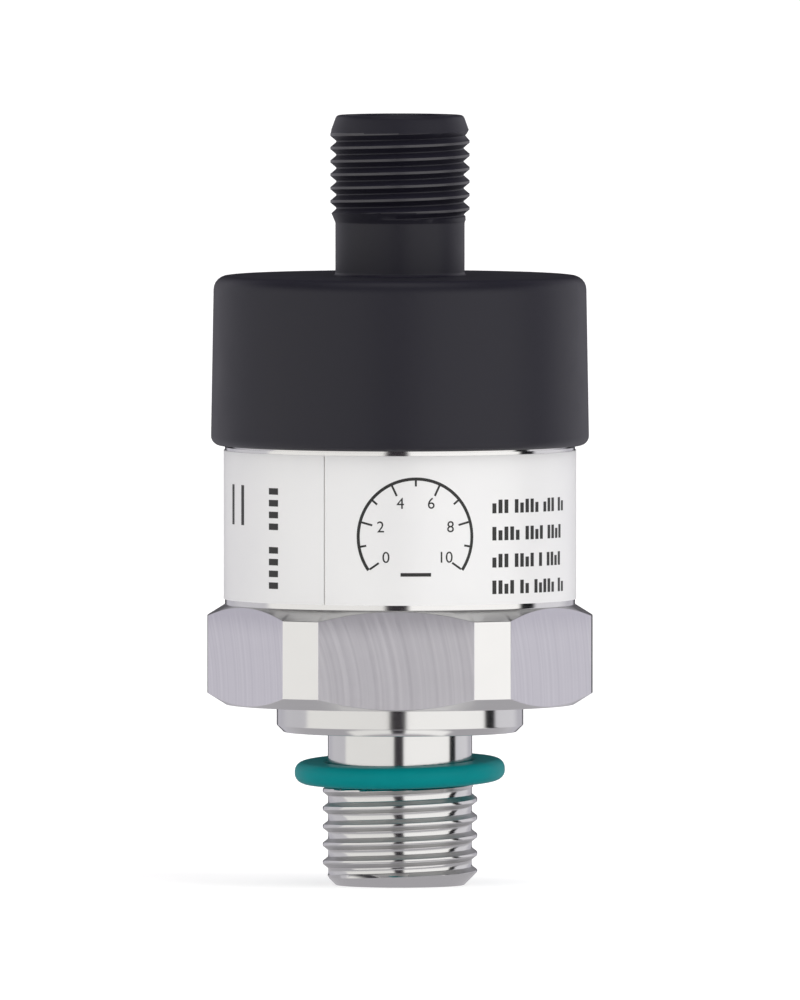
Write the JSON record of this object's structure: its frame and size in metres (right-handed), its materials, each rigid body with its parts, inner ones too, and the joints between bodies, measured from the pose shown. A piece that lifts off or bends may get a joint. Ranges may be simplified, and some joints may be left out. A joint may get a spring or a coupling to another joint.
{
  "type": "pressure transmitter",
  "caption": "Compact pressure transmitter with a male process thread, spanner hexagon, steel sleeve with a wrap-round label, and a moulded cap with a threaded plug.",
  "frame": {"origin": "centre of the process thread's end face", "axes": "+Z along the axis, up through the plug; -Y out of the front spanner flat; +X to the right of the front"},
  "size_m": [0.0328, 0.0322, 0.0655],
  "materials": {
    "stainless": "turned and polished, with milled flats",
    "cap_plastic": "fine matt moulding, black",
    "carrier_plastic": "smooth moulding, black",
    "frame_plastic": "smooth moulding, natural",
    "seal_green": "smooth elastomer, blue-green",
    "seal_black": "smooth elastomer, black",
    "label_foil": "satin foil, very light silver",
    "cell_ceramic": "fired alumina, unglazed",
    "board_laminate": "solder resist over glass laminate, green",
    "chip_body": "moulded, black",
    "capacitor_body": "moulded, yellow",
    "resistor_body": "coated ceramic, dark",
    "flex_film": "thin film, amber",
    "contact_metal": "gold-plated, turned",
    "spring_metal": "rolled bronze strip"
  },
  "bodies": {
    "root": {"body": "stainless", "seal_ring": "seal_green", "type_label": "label_foil", "plug_cap": "cap_plastic", "cap_seal": "seal_black", "cell_seal": "seal_black", "cell_diaphragm": "cell_ceramic", "cell_base": "cell_ceramic", "cell_pins": "contact_metal", "support_ring": "frame_plastic", "clamp_nut": "stainless", "board_frame": "frame_plastic", "main_board": "board_laminate", "signal_chip": "chip_body", "filter_capacitors": "capacitor_body", "chip_resistors": "resistor_body", "surge_diodes": "chip_body", "flex_lead": "flex_film", "earth_spring": "spring_metal", "connector_board": "board_laminate", "pin_carrier": "carrier_plastic", "carrier_seal": "seal_black", "contact_pin_1": "contact_metal", "contact_pin_2": "contact_metal", "contact_pin_3": "contact_metal", "contact_pin_4": "contact_metal"}
  },
  "joints": []
}
